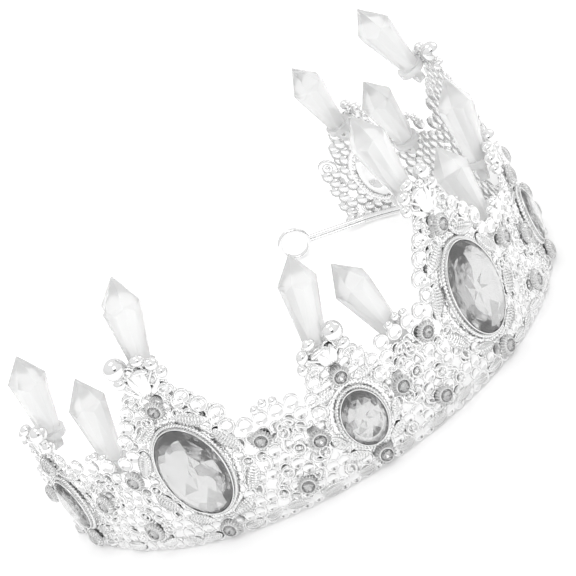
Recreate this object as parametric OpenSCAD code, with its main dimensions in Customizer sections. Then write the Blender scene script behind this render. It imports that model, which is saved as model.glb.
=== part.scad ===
// Open-backed baroque crown. Seven pierced gem panels and six scroll links stand in a
// horseshoe on a doubled head wire, and clear faceted drops rise behind the peaks.
// +Z is up, -Y is the front, and Z = 0 is the plane that the lower edge rests on.

/* [Band] */
// Radius of the head circle at the middle of the sheet
band_r = 83.5; // [80:0.5:88]
// Thickness of the pierced sheet
sheet_t = 1.2; // [1:0.1:1.6]
// Angle between neighbouring gem panels
panel_step = 32.8; // [32:0.1:34]
// Extra angle in front of each end panel
end_gap = 4; // [2:0.5:5]

/* [Gem panels] */
// Shoulder width of a tall panel
tall_w = 34; // [32:0.5:35]
// Shoulder width of a low panel
low_w = 24; // [22:0.5:25]
// Height of a tall panel's peak
tall_h = 60; // [58:0.5:62]
// Height of a low panel's peak
low_h = 42; // [40:0.5:44]

/* [Scroll links] */
// Height of the lace edge of a link
link_h = 34; // [30:0.5:35]
// Radius of a crest bead
crest_r = 1.3; // [1:0.1:2]

/* [Stones] */
// Height of a large oval gem
big_gem_l = 28.8; // [27:0.1:30]
// Width of a large oval gem
big_gem_w = 19.2; // [18:0.1:20]
// Height of a small oval gem
small_gem_l = 17; // [15:0.1:18]
// Width of a small oval gem
small_gem_w = 12.1; // [11:0.1:13]
// Diameter of a round rhinestone
stone_d = 3.6; // [3:0.1:4]
// Outer diameter of a fringed rhinestone cup
cup_d = 6.4; // [6:0.1:6.6]
// Teeth round a fringed cup
cup_teeth = 16; // [13:1:20]

/* [Clear drops] */
// Length of a drop from its collar to its tip
drop_len = 27.5; // [24:0.5:30]
// Width across a drop's shoulder
drop_w = 11.2; // [9:0.1:11.5]
// Width of a drop where it leaves its collar
drop_neck_w = 6.4; // [5:0.1:7]
// Diameter of the collar under a drop
collar_d = 8.4; // [7:0.1:8.8]

/* [Head wire] */
// Diameter of the head wire
wire_d = 1.4; // [1.2:0.1:1.6]
// Inner diameter of an end loop
loop_bore = 8.4; // [7:0.1:9]
// Distance from the band's end to the middle of a loop
loop_reach = 25; // [22:0.5:30]
// Angle that a loop's stem turns in from the band
loop_turn = 23; // [10:1:30]

/* [Hidden] */

panels = 7;
middle = (panels - 1) / 2;
outer_r = band_r + sheet_t / 2;
inner_r = band_r - sheet_t / 2;

// Left and right are the wearer's: left is +X. Panels count from the right end, at -X, and
// every second one is tall.
function is_tall(i) = i % 2 == 1;
function end_sign(i) = i == 0 ? -1 : i == panels - 1 ? 1 : 0;
function panel_angle(i) = (i - middle) * panel_step + end_sign(i) * end_gap;
function pick(i, tall, low) = is_tall(i) ? tall : low;
function shoulder_w(i) = pick(i, tall_w, low_w);
function peak_h(i) = pick(i, tall_h, low_h);
function gem_l(i) = pick(i, big_gem_l, small_gem_l);
function gem_w(i) = pick(i, big_gem_w, small_gem_w);
function gem_z(i) = pick(i, 24.6, 16.8);
function top_cup_z(i) = pick(i, 46, 31);
low_cup_z = 4;
// The side on which a panel's largest peak bead sits: the stampings come in two hands.
bead_side = [1, -1, 1, 1, 1, -1, 1];
// Radius of each panel's largest peak bead
big_bead_r = [2.6, 3.2, 3, 2.4, 2.6, 3, 2.6];
// The other beads of a peak: sideways place, height from the largest bead, radius
peak_fan = [[5.4, -4.6, 1.9], [-2.8, 0.4, 1.8], [-6, -1.8, 1.9], [-7.6, -5, 1.7]];
big_bead_x = 4.5;

// The drops lean as they were glued: sideways place of the tip, radius that the tip
// reaches, and sideways place of the seat
peak_lean = [4.2, 5, 6.3, 0, 4.5, 2.6, 1];
peak_tip_r = [76, 75, 74, 75, 80.4, 72, 73];
peak_shift = [0, 0, -1, 0, -0.5, 4, 0];
link_lean = [0, 0, -5, 1.8, 0, -2.4];
link_tip_r = [74.5, 0, 76, 76, 0, 73];
collar_t = 2;
tab_w = 5;
tab_t = 2.4;
tab_l = 2.2;
tab_hole = 1.6;
// How far below its peak or its lace edge a drop's collar sits
seat_drop = 4.2;
link_seat_drop = 5.8;
flare_share = 0.68;
seat_r = inner_r - collar_d / 2 - 0.05;
flare_z = (drop_len - collar_t) * flare_share;

link_gap = 0.15;
function edge_angle(i, side) = panel_angle(i) + side * shoulder_w(i) / 2 / band_r * 180 / PI;
function link_from(k) = edge_angle(k, 1);
function link_to(k) = edge_angle(k + 1, -1);
function link_angle(k) = (link_from(k) + link_to(k)) / 2;
function link_w(k) = (link_to(k) - link_from(k)) * PI / 180 * band_r - 2 * link_gap;
// +1 when the tall panel is on the link's -X side
function link_hand(k) = is_tall(k) ? 1 : -1;
// A link's three cups: sideways place as a share of its width, height. The wider outer links
// spread them differently from the inner ones.
inner_cups = [[-0.28, 26], [0.45, 18], [-0.04, 7.5]];
outer_cups = [[-0.42, 26], [0.28, 18.5], [-0.24, 8]];
function link_cups(k) = k == 0 || k == panels - 2 ? outer_cups : inner_cups;
end_w = 6.6;
end_h = 26;
function end_angle(side) = edge_angle(side < 0 ? 0 : panels - 1, side)
    + side * (end_w / 2 + link_gap) / band_r * 180 / PI;
end_cup = [0, 16.4];

stone_r = stone_d / 2;
cup_wall = 0.35;
cup_h = 2;
bezel_t = 0.4;
rope_w = 1;
rope_top = 1.5;
setting_back = 2;
lip_h = 0.6;
seat_w = 1.2;
seat_t = 0.5;
girdle_w = 1.5;
girdle_t = 0.5;
crown_t = 2.2;
pavilion_t = 2.5;
pavilion_in = 5.7;

wire_r = wire_d / 2;
wire_path_r = inner_r - wire_r;
wire_end = edge_angle(panels - 1, 1);
wire_z = 1;
wire_pitch = wire_d + 0.1;
solder_t = 0.12;
loop_wire_r = wire_r + 0.15;
loop_mid_r = loop_bore / 2 + wire_r;
loop_out_r = loop_mid_r + loop_wire_r;
stack_z = wire_z + wire_pitch / 2;
// The stem rises just enough for the loop to stand on the same plane as the band
loop_rise = asin((loop_out_r - stack_z) / loop_reach);

module in_frame(angle, r = band_r) {
    rotate([0, 0, angle]) translate([0, -r, 0]) children();
}

// Stands a flat outline (x sideways, y up) on the head circle and curves it to the sheet.
module curved_sheet(angle) {
    intersection() {
        rotate_extrude($fn = 180) translate([inner_r, 0]) square([sheet_t, 80]);
        rotate([0, 0, angle]) translate([0, -band_r + 5, 0]) rotate([90, 0, 0])
            linear_extrude(10) children();
    }
}

module oval(l, w, grow = 0, n = 40) {
    polygon([for (k = [0:n - 1])
        [(w / 2 + grow) * sin(360 * k / n), (l / 2 + grow) * cos(360 * k / n)]]);
}

// One loop of the lace edge
module lace_loop(x, z, r) {
    translate([x, z]) circle(r = r, $fn = 24);
}

module lace_eye(x, z, r) {
    translate([x, z]) circle(r = r * 0.5, $fn = 6);
}

// ---------------------------------------------------------------- gem panels

// Points of the lace edge on one side of a panel, from the shoulder to the peak
function shoulder_loops(i) = is_tall(i)
    ? [[tall_w / 2 - 2.4, 34, 2.4], [tall_w / 2 - 2.8, 39, 2.6], [tall_w / 2 - 6, 43.2, 2.6],
       [8.4, 47.6, 2.2]]
    : [[low_w / 2 - 2.2, 24.5, 2.2], [low_w / 2 - 2.6, 29, 2.2], [7, 33, 2.2]];

module panel_outline(i) {
    half = shoulder_w(i) / 2;
    loops = shoulder_loops(i);
    first = loops[0];
    last = loops[len(loops) - 1];
    top = peak_h(i);
    for (side = [-1, 1])
        for (l = loops)
            lace_loop(side * l[0], l[1], l[2]);
    polygon([
        [-half + 2, 0], [half - 2, 0], [half, 2.5], [half, first[1]], [loops[1][0], loops[1][1]],
        [last[0], last[1]], [5, last[1] + 3], [6.5, top - 4.5], [5, top - 0.5],
        [-5, top - 0.5], [-6.5, top - 4.5], [-5, last[1] + 3], [-last[0], last[1]],
        [-loops[1][0], loops[1][1]], [-half, first[1]], [-half, 2.5],
    ]);
}

// Openings between the leaves that ring a gem
module leaf_gaps(i) {
    count = pick(i, 12, 8);
    reach = pick(i, 5.6, 4.2);
    for (k = [0:count - 1]) {
        a = 360 * (k + 0.5) / count;
        x = (gem_w(i) / 2 + reach) * sin(a);
        z = gem_z(i) + (gem_l(i) / 2 + reach) * cos(a);
        near_cup = abs(x) < cup_d / 2 + 1;
        if (!near_cup && z > 2.5)
            translate([x, z]) rotate(45 - a) circle(r = 1.2, $fn = 4);
    }
}

// Where bead n of panel i sits in its panel's frame
function bead_spot(i, n) = n == 0
    ? [bead_side[i] * big_bead_x, peak_h(i) + 0.6, big_bead_r[i]]
    : [bead_side[i] * peak_fan[n - 1][0], peak_h(i) + 0.6 + peak_fan[n - 1][1], peak_fan[n - 1][2]];

module peak_beads(i) {
    color("gainsboro") in_frame(panel_angle(i))
        for (n = [0:len(peak_fan)])
            translate([bead_spot(i, n)[0], 0, bead_spot(i, n)[1]])
                sphere(r = bead_spot(i, n)[2], $fn = 40);
}

module gem_panel(i) {
    color("silver") curved_sheet(panel_angle(i)) difference() {
        panel_outline(i);
        translate([0, gem_z(i)]) oval(gem_l(i), gem_w(i), bezel_t);
        leaf_gaps(i);
        for (side = [-1, 1])
            for (l = shoulder_loops(i))
                lace_eye(side * l[0], l[1], l[2]);
        translate([0, peak_h(i) - 7.5]) circle(r = 1.6, $fn = 3);
        for (n = [0:len(peak_fan)])
            translate([bead_spot(i, n)[0], bead_spot(i, n)[1]])
                circle(r = bead_spot(i, n)[2], $fn = 32);
    }
}

// ------------------------------------------------------------- scroll links

module scroll_piercings(w, h) {
    rows = floor((h - 6) / 6);
    columns = floor((w - 4) / 5);
    for (row = [0:rows - 1])
        for (c = [0:columns - 1])
            translate([(c - (columns - 1) / 2) * 5, 7 + row * 6 + (c % 2) * 2])
                rotate(30 * (row + c)) circle(r = 1.3, $fn = 5);
}

module link_outline(w, h) {
    loops = 4;
    loop_r = w / loops * 0.53;
    pitch = (w - 2 * loop_r - 0.1) / (loops - 1);
    translate([-w / 2, 0]) square([w, h - loop_r * 1.3]);
    for (k = [0:loops - 1])
        lace_loop((k - (loops - 1) / 2) * pitch, h - loop_r, loop_r);
}

function crest_spot(n) = [(n - 1) * crest_r * 2.1, n == 1 ? link_h + 0.9 : link_h + 0.1];

module crest(k) {
    in_frame(link_angle(k))
        for (n = [0:2])
            translate([crest_spot(n)[0], 0, crest_spot(n)[1]]) sphere(r = crest_r, $fn = 32);
}

module crest_beads() {
    color("gainsboro") for (k = [0:panels - 2]) crest(k);
}

module scroll_link(k) {
    color("silver") curved_sheet(link_angle(k)) difference() {
        link_outline(link_w(k), link_h);
        scroll_piercings(link_w(k), link_h - 4);
        for (n = [0:2])
            translate(crest_spot(n)) circle(r = crest_r, $fn = 32);
    }
}

module end_scroll(side) {
    color("silver") curved_sheet(end_angle(side)) difference() {
        union() {
            translate([-end_w / 2, 0]) square([end_w, end_h - end_w * 0.7]);
            lace_loop(0, end_h - end_w / 2, end_w / 2 - 0.05);
        }
        lace_eye(0, end_h - end_w / 2, end_w / 2);
        translate([0, 5.5]) circle(r = 1.3, $fn = 5);
    }
}

// --------------------------------------------------------- gems and settings

module standing(z) {
    translate([0, 0, z]) rotate([90, 0, 0]) children();
}

module gem_setting(i) {
    l = gem_l(i);
    w = gem_w(i);
    color("silver") in_frame(panel_angle(i)) standing(gem_z(i)) difference() {
        union() {
            translate([0, 0, -setting_back]) linear_extrude(girdle_w + setting_back + lip_h)
                oval(l, w, bezel_t);
            difference() {
                translate([0, 0, -rope_top]) linear_extrude(2 * rope_top) oval(l, w, bezel_t + rope_w);
                rotate([90, 0, 0]) translate([0, band_r, -30]) rotate([0, 0, 90])
                    cylinder(r = outer_r, h = 60, $fn = 180);
            }
        }
        translate([0, 0, seat_t - setting_back]) linear_extrude(10) oval(l, w, -seat_w);
        translate([0, 0, girdle_w - seat_t]) linear_extrude(10) oval(l, w, 0.03);
    }
}

// One level of a cut stone: a thin oval slice
module facet_ring(i, up, grow, sides) {
    translate([0, 0, up]) linear_extrude(0.01) oval(gem_l(i), gem_w(i), grow, sides);
}

// Faceted oval: a flat table, a crown, a thin girdle and a pavilion that rests on the seat
module oval_gem(i) {
    crown = girdle_w + girdle_t;
    w = gem_w(i);
    color("lightgray") in_frame(panel_angle(i)) standing(gem_z(i)) hull() {
        translate([0, 0, girdle_w]) linear_extrude(girdle_t) oval(gem_l(i), w, 0, 16);
        facet_ring(i, crown + crown_t * 0.6, -w * 0.09, 16);
        facet_ring(i, crown + crown_t, -w * 0.21, 16);
        facet_ring(i, girdle_w - pavilion_t, -pavilion_in, 16);
    }
}

// -------------------------------------------------------------- rhinestones

module fringed_cup() {
    difference() {
        union() {
            linear_extrude(0.7) polygon([for (k = [0:2 * cup_teeth - 1])
                let (r = k % 2 == 0 ? cup_d / 2 : cup_d / 2 - 0.8)
                [r * cos(180 * k / cup_teeth), r * sin(180 * k / cup_teeth)]]);
            cylinder(r = stone_r + cup_wall, h = cup_h, $fn = 32);
        }
        translate([0, 0, 0.5]) cylinder(r = stone_r, h = cup_h, $fn = 32);
    }
}

module chaton() {
    translate([0, 0, 0.5]) {
        cylinder(r1 = stone_r * 0.55, r2 = stone_r, h = 1, $fn = 32);
        translate([0, 0, 1]) cylinder(r = stone_r, h = 0.3, $fn = 32);
        translate([0, 0, 1.3]) cylinder(r1 = stone_r, r2 = stone_r * 0.6, h = 0.7, $fn = 32);
    }
}

module on_sheet(angle, x, z) {
    rotate([0, 0, angle + x / band_r * 180 / PI]) translate([0, -outer_r, 0])
        standing(z) children();
}

module panel_spots() {
    for (i = [0:panels - 1]) {
        on_sheet(panel_angle(i), 0, low_cup_z) children();
        on_sheet(panel_angle(i), 0, top_cup_z(i)) children();
    }
}

module link_spots() {
    for (k = [0:panels - 2])
        for (c = link_cups(k))
            on_sheet(link_angle(k), link_hand(k) * c[0] * link_w(k), c[1]) children();
    for (side = [-1, 1])
        on_sheet(end_angle(side), side * end_cup[0], end_cup[1]) children();
}

module panel_rhinestone_cups() {
    color("silver") panel_spots() fringed_cup();
}

module link_rhinestone_cups() {
    color("silver") link_spots() fringed_cup();
}

module panel_rhinestones() {
    color("gray") panel_spots() chaton();
}

module link_rhinestones() {
    color("gray") link_spots() chaton();
}

// -------------------------------------------------------------- clear drops

// An icicle drop on the Z axis: tab, collar, flared six-sided body and point
module icicle() {
    difference() {
        union() {
            translate([-tab_w / 2, -tab_t / 2, -tab_l]) cube([tab_w, tab_t, tab_l]);
            translate([0, tab_t / 2, -tab_l]) rotate([90, 0, 0])
                cylinder(r = tab_w / 2, h = tab_t, $fn = 32);
        }
        translate([0, tab_t, -tab_l]) rotate([90, 0, 0])
            cylinder(r = tab_hole / 2, h = tab_t * 2, $fn = 8);
    }
    cylinder(d = collar_d, h = collar_t, $fn = 48);
    translate([0, 0, collar_t]) hull() {
        cylinder(d = drop_neck_w, h = 0.01, $fn = 6);
        translate([0, 0, flare_z - 1.2]) rotate(30)
            cylinder(d = drop_w * 0.97, h = 0.01, $fn = 6);
        translate([0, 0, flare_z + 0.6]) cylinder(d = drop_w, h = 0.01, $fn = 6);
        translate([0, 0, drop_len - collar_t - 0.1]) cylinder(d = 0.3, h = 0.1, $fn = 6);
    }
}

// Leans a drop from its seat behind the sheet towards its tip
module leaning_drop(angle, shift, z, lean, tip_r) {
    color("white") in_frame(angle, seat_r) translate([shift, 0, z])
        rotate([-asin((seat_r - tip_r) / drop_len), asin((lean - shift) / drop_len), 0]) icicle();
}

module peak_drop(i) {
    leaning_drop(panel_angle(i), peak_shift[i], peak_h(i) - seat_drop, peak_lean[i], peak_tip_r[i]);
}

module link_drop(k) {
    leaning_drop(link_angle(k), 0, link_h - link_seat_drop, link_lean[k], link_tip_r[k]);
}

// ---------------------------------------------------------------- head wire

module head_wire(z) {
    color("silver") translate([0, 0, z]) rotate([0, 0, -90 - wire_end])
        rotate_extrude(angle = 2 * wire_end, $fn = 180) translate([wire_path_r, 0])
            circle(r = wire_r, $fn = 24);
}

// The two runs of wire leave the band one above the other and end in a soldered loop.
// The loop's inner wall is flattened, so that its bore is a plain cylinder.
module end_loop() {
    color("silver") in_frame(wire_end, wire_path_r) difference() {
        translate([0, 0, stack_z]) rotate([0, -loop_rise, loop_turn]) {
            for (side = [-1, 1])
                translate([0, 0, side * wire_pitch / 2]) {
                    sphere(r = wire_r + solder_t, $fn = 24);
                    rotate([0, 90, 0]) cylinder(r = wire_r, h = loop_reach - loop_mid_r, $fn = 24);
                }
            translate([loop_reach, 0, 0]) rotate([90, 0, 0]) rotate_extrude($fn = 64)
                difference() {
                    translate([loop_mid_r, 0]) circle(r = loop_wire_r, $fn = 24);
                    translate([0, -wire_d]) square([loop_bore / 2, 2 * wire_d]);
                }
        }
        translate([-2 * wire_d, -2 * wire_d, -wire_d]) cube([2 * wire_d, 4 * wire_d, 6 * wire_d]);
    }
}

// -------------------------------------------------------------------- nodes

gem_panel(0);  // gem_panel_1
gem_panel(1);  // gem_panel_2
gem_panel(2);  // gem_panel_3
gem_panel(3);  // gem_panel_4
gem_panel(4);  // gem_panel_5
gem_panel(5);  // gem_panel_6
gem_panel(6);  // gem_panel_7
scroll_link(0);  // scroll_link_1
scroll_link(1);  // scroll_link_2
scroll_link(2);  // scroll_link_3
scroll_link(3);  // scroll_link_4
scroll_link(4);  // scroll_link_5
scroll_link(5);  // scroll_link_6
end_scroll(1);  // end_scroll_left
end_scroll(-1);  // end_scroll_right
gem_setting(0);  // gem_setting_1
gem_setting(1);  // gem_setting_2
gem_setting(2);  // gem_setting_3
gem_setting(3);  // gem_setting_4
gem_setting(4);  // gem_setting_5
gem_setting(5);  // gem_setting_6
gem_setting(6);  // gem_setting_7
oval_gem(0);  // oval_gem_1
oval_gem(1);  // oval_gem_2
oval_gem(2);  // oval_gem_3
oval_gem(3);  // oval_gem_4
oval_gem(4);  // oval_gem_5
oval_gem(5);  // oval_gem_6
oval_gem(6);  // oval_gem_7
peak_drop(0);  // peak_drop_1
peak_drop(1);  // peak_drop_2
peak_drop(2);  // peak_drop_3
peak_drop(3);  // peak_drop_4
peak_drop(4);  // peak_drop_5
peak_drop(5);  // peak_drop_6
peak_drop(6);  // peak_drop_7
link_drop(0);  // link_drop_1
link_drop(2);  // link_drop_3
link_drop(3);  // link_drop_4
link_drop(5);  // link_drop_6
peak_beads(0);  // peak_beads_1
peak_beads(1);  // peak_beads_2
peak_beads(2);  // peak_beads_3
peak_beads(3);  // peak_beads_4
peak_beads(4);  // peak_beads_5
peak_beads(5);  // peak_beads_6
peak_beads(6);  // peak_beads_7
crest_beads();
panel_rhinestone_cups();
link_rhinestone_cups();
panel_rhinestones();
link_rhinestones();
head_wire(wire_z);  // head_wire_lower
head_wire(wire_z + wire_pitch);  // head_wire_upper
end_loop();  // end_loop_left
mirror([1, 0, 0]) end_loop();  // end_loop_right
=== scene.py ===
import math

import bmesh
import bpy
import numpy as np
from mathutils import Matrix, Vector


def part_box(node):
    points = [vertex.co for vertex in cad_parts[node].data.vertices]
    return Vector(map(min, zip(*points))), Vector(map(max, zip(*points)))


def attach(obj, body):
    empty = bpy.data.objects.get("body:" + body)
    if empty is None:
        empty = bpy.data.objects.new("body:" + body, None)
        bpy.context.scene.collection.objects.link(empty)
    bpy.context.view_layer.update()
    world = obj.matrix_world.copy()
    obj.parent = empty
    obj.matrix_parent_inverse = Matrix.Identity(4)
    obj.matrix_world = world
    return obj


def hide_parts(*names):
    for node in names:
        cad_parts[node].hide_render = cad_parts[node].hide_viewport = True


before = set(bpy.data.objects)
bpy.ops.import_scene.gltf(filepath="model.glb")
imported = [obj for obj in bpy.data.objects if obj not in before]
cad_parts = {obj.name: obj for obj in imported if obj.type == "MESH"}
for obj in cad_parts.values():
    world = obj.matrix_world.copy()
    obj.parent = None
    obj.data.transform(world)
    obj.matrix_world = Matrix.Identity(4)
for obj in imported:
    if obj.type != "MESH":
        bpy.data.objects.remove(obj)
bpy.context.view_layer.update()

bl_info = {
    "name": "Baroque Crown Maker",
    "version": (1, 0, 0),
    "blender": (4, 5, 0),
    "location": "3D View > Sidebar > Crown",
    "description": "Builds the looks of an open-backed crown round its packed frame",
    "category": "Add Mesh",
}

MM = 0.001
BODY = "root"
PANELS = range(1, 8)
LINKS = range(1, 7)
# Thickness of the stamped sheet. The head circle runs through its middle.
SHEET_T = 1.2
BAND_R = -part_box("gem_panel_4")[0].y / MM - SHEET_T / 2
OUTER_R = BAND_R + SHEET_T / 2
# The lower ring of a cut stone's girdle, where the table is ring 0. Foil starts below it.
GIRDLE = 3


# ------------------------------------------------------------- places on the frame

def node_points(node):
    """All of a CAD node's vertices, in millimetres, as rows of x, y, z."""
    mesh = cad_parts[node].data
    flat = np.empty(len(mesh.vertices) * 3)
    mesh.vertices.foreach_get("co", flat)
    return flat.reshape(-1, 3) / MM


def node_angle(node):
    """The middle of a node's reach round the head circle, in radians from the front."""
    x, y, _ = node_points(node).T
    angle = np.arctan2(x, -y)
    return (angle.min() + angle.max()) / 2


def node_arc(node):
    """How far a node reaches along the head circle, in millimetres."""
    x, y, _ = node_points(node).T
    angle = np.arctan2(x, -y)
    return (angle.max() - angle.min()) * BAND_R


def node_heights(node):
    """The lowest and highest point of a node, in millimetres."""
    low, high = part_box(node)
    return low.z / MM, high.z / MM


def island_spots(node):
    """(angle, up) of each separate solid in a node. Points that share an edge take the lower
    of their two labels until nothing changes, at most 200 times, and each label left is one
    solid."""
    points, same = np.unique(node_points(node).round(3), axis=0, return_inverse=True)
    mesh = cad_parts[node].data
    ends = np.empty(len(mesh.edges) * 2, np.int32)
    mesh.edges.foreach_get("vertices", ends)
    ends = same.reshape(-1)[ends].reshape(-1, 2)
    label = np.arange(len(points))
    for _ in range(200):
        low = label[ends].min(1)
        new = label.copy()
        np.minimum.at(new, ends.ravel(), low.repeat(2))
        new = new[new]
        if (new == label).all():
            break
        label = new
    for k in np.unique(label):
        low, high = points[label == k].min(0), points[label == k].max(0)
        x, y, z = (low + high) / 2
        yield math.atan2(x, -y), z


def is_tall(i):
    """Every second panel, counted from 1 at -X, is a tall one."""
    return i % 2 == 0


def onto_band(points, angle):
    """Wraps (along, up, out) on the head circle: along is arc length, out adds to the radius."""
    along, up, out = points.T
    turn = angle + along / BAND_R
    radius = BAND_R + out
    return np.stack([radius * np.sin(turn), -radius * np.cos(turn), up], -1)


def onto_plane(points, angle, up=0.0, radius=None):
    """Stands (along, up, out) on the flat plane that touches the head circle at an angle."""
    along, rise, out = points.T
    reach = (BAND_R if radius is None else radius) + out
    x = reach * np.sin(angle) + along * np.cos(angle)
    y = -reach * np.cos(angle) + along * np.sin(angle)
    return np.stack([x, y, rise + up], -1)


# -------------------------------------------------------------------------- shapes
# A shape is (points, quads) in millimetres: along, up, out. Poles and seams are rows of
# coincident points that put() merges.

def grid_quads(rows, cols):
    """Quads of a grid whose columns close on themselves, facing outwards."""
    row = np.arange(rows - 1)[:, None] * cols
    col = np.arange(cols)[None, :]
    a = row + col
    b = row + (col + 1) % cols
    return np.stack([a, b, b + cols, a + cols], -1).reshape(-1, 4)


def join(*shapes):
    """One shape from several."""
    shapes = [s for s in shapes if len(s[0])]
    starts = np.cumsum([0] + [len(s[0]) for s in shapes[:-1]])
    points = np.concatenate([s[0] for s in shapes])
    return points, np.concatenate([s[1] + k for s, k in zip(shapes, starts)])


def copies(shape, spots):
    """Copies of a shape: mirrored sideways where hand is -1, sized, turned, then moved.
    Each spot is along, up, out, turn, size, hand."""
    points, quads = shape
    along, up, out, turn, size, hand = np.asarray(spots, float).reshape(-1, 6).T
    c, s = np.cos(turn)[:, None], np.sin(turn)[:, None]
    x = points[None, :, 0] * (hand * size)[:, None]
    y = points[None, :, 1] * size[:, None]
    z = points[None, :, 2] * size[:, None]
    moved = np.stack([along[:, None] + c * x - s * y, up[:, None] + s * x + c * y,
                      out[:, None] + z], -1)
    faces = quads[None] + (np.arange(len(along)) * len(points))[:, None, None]
    faces = np.where(hand[:, None, None] < 0, faces[:, :, ::-1], faces)
    return moved.reshape(-1, 3), faces.reshape(-1, 4)


def both_hands(spots):
    """The spots and their mirror images across the panel's middle line."""
    spots = np.asarray(spots, float).reshape(-1, 6)
    return np.concatenate([spots, spots * [-1, 1, 1, -1, 1, -1]])


def lathe(profile, cols, ripple=0.0, lift=0.0):
    """A profile of (radius, out) turned about the out axis. Ripple scales the radii, and lift
    is added to out."""
    radius, out = np.asarray(profile, float).T
    turn = np.linspace(0, 2 * np.pi, cols, endpoint=False)[None, :]
    r = radius[:, None] * (1 + ripple)
    points = np.stack([r * np.cos(turn), r * np.sin(turn), out[:, None] + lift + 0 * turn], -1)
    return points.reshape(-1, 3), grid_quads(len(radius), cols)


def roundel(radius=2.0, wire=0.34):
    """A dished disc inside a raised rim: a five-step profile turned round."""
    return lathe([(0, -0.2), (radius, -0.2), (radius + 0.05, 0.45), (radius - wire, 0.5),
                  (radius - 1.9 * wire, 0.12), (0, 0.0)], 12)


def dish(radius=2.0, wire=0.28):
    """A smooth shallow bowl inside a thin rim: an eight-step profile turned round."""
    return lathe([(0, -0.2), (radius, -0.2), (radius + 0.06, 0.5), (radius - 0.4 * wire, 0.72),
                  (radius - 1.2 * wire, 0.62), (radius - 1.7 * wire, 0.3),
                  (radius * 0.5, 0.14), (0, 0.1)], 20)


def bead(radius, rows=7, cols=12):
    """A sphere: radius times the cosine and sine of the latitude, turned round."""
    lat = np.linspace(-np.pi / 2, np.pi / 2, rows)
    return lathe(np.stack([radius * np.cos(lat), radius * np.sin(lat)], -1), cols)


def ring(radius, wire, height=None, cols=18, sides=8):
    """A round ring: a circle, or a flatter oval, of wire carried round a circle."""
    a = np.linspace(0, 2 * np.pi, sides + 1)
    rise = wire if height is None else height
    return lathe(np.stack([radius + wire * np.cos(a), rise * np.sin(a)], -1), cols)


def rod(path, wire, height=None, sides=8, round_end=0.12):
    """A wire along a flat path. Its section is an oval, wire wide and height high, and its
    ends close over the last share round_end of the path as a quarter circle does."""
    path = np.asarray(path, float)
    rows = len(path)
    go = np.gradient(path, axis=0)
    go /= np.linalg.norm(go, axis=1)[:, None]
    t = np.linspace(0, 1, rows)
    near = np.clip(1 - np.minimum(t, 1 - t) / round_end, 0, 1)
    swell = np.sqrt(1 - near ** 2)[:, None]
    a = np.linspace(0, 2 * np.pi, sides, endpoint=False)[None, :]
    side = swell * wire * np.cos(a)
    out = swell * (wire if height is None else height) * np.sin(a)
    along = path[:, :1] - go[:, 1:] * side
    up = path[:, 1:] + go[:, :1] * side
    return np.stack([along, up, out], -1).reshape(-1, 3), grid_quads(rows, sides)


def scroll_path(length, curl, s_shape=False, rows=34):
    """A scroll. The heading grows with distance s from the middle as a|s| + b|s|^3 and
    reaches curl at both ends: it turns one way in a C, and both ways in an S."""
    s = np.linspace(-1, 1, rows)
    bend = 0.9 * np.abs(s) + (curl - 0.9) * np.abs(s) ** 3
    heading = bend if s_shape else np.sign(s) * bend
    step = (s[1] - s[0]) * length / 2
    mid = (heading[1:] + heading[:-1]) / 2
    path = np.concatenate([[[0, 0]], np.cumsum(np.stack([np.cos(mid), np.sin(mid)], -1), 0)])
    path = path * step
    return path - (path[rows // 2] + path[rows // 2 - 1]) / 2


def scroll(length, curl=4.6, s_shape=False, wire=0.4):
    """A raised scroll on a flat foot, with a bead in each curled end."""
    path = scroll_path(length, curl, s_shape)
    ends = [(*path[k], 0.55, 0, 1, 1) for k in (1, -2)]
    raised = rod(path, wire, wire * 1.1)
    raised[0][:, 2] += 0.45
    return join(rod(path, wire * 2, 0.28, 6), raised, copies(bead(wire * 1.5, 6, 8), ends))


def eye(radius, wire=0.34):
    """A small ring with a bead inside, on a flat foot."""
    foot = ring(radius, wire * 1.7, 0.26, 16, 6)
    raised = ring(radius, wire, wire * 1.2, 18, 7)
    raised[0][:, 2] += 0.4
    pearl = bead(radius * 0.42, 6, 9)
    pearl[0][:, 2] += 0.25
    return join(foot, raised, pearl)


def leaf(length, width, ribs=9, bend=0.12, rib_height=0.58, rows=None):
    """A veined leaf. Its half width is a sine of the way along, sharpened at the tip, its
    top is an arch with a groove down the middle, and slanting ribs add a cosine of (way
    along - slant to the side) whose low parts are narrowed by a power of 1.8."""
    rows = rows or ribs * 6 + 3
    t = np.linspace(0, 1, rows)[:, None]
    a = np.linspace(0, 2 * np.pi, 16, endpoint=False)[None, :]
    across, lift = np.cos(a), np.sin(a)
    veins = np.cos(2 * np.pi * (ribs * t - 0.4 * ribs * width / length * np.abs(across)))
    veins = 1 - 2 * ((1 - veins) / 2) ** 1.8
    taper = np.sin(np.pi * t ** 0.85) ** 0.7
    half = width / 2 * taper * (1 + (0.05 * veins if ribs else 0))
    arch = 0.85 * lift - 0.3 * np.exp(-(across / 0.2) ** 2)
    top = np.where(lift > 0, arch, 0.3 * lift)
    out = taper * (top + np.where(lift > 0, rib_height * veins * np.sqrt(np.abs(lift)), 0)) + 0.3
    turn = bend * 4 * (t - 0.5)
    x = (t - 0.5) * length
    y = -bend * length * (0.5 - 2 * (t - 0.5) ** 2)
    along = x - np.sin(turn) * half * across
    up = y + np.cos(turn) * half * across
    return np.stack([along, up, out], -1).reshape(-1, 3), grid_quads(rows, 16)


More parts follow.
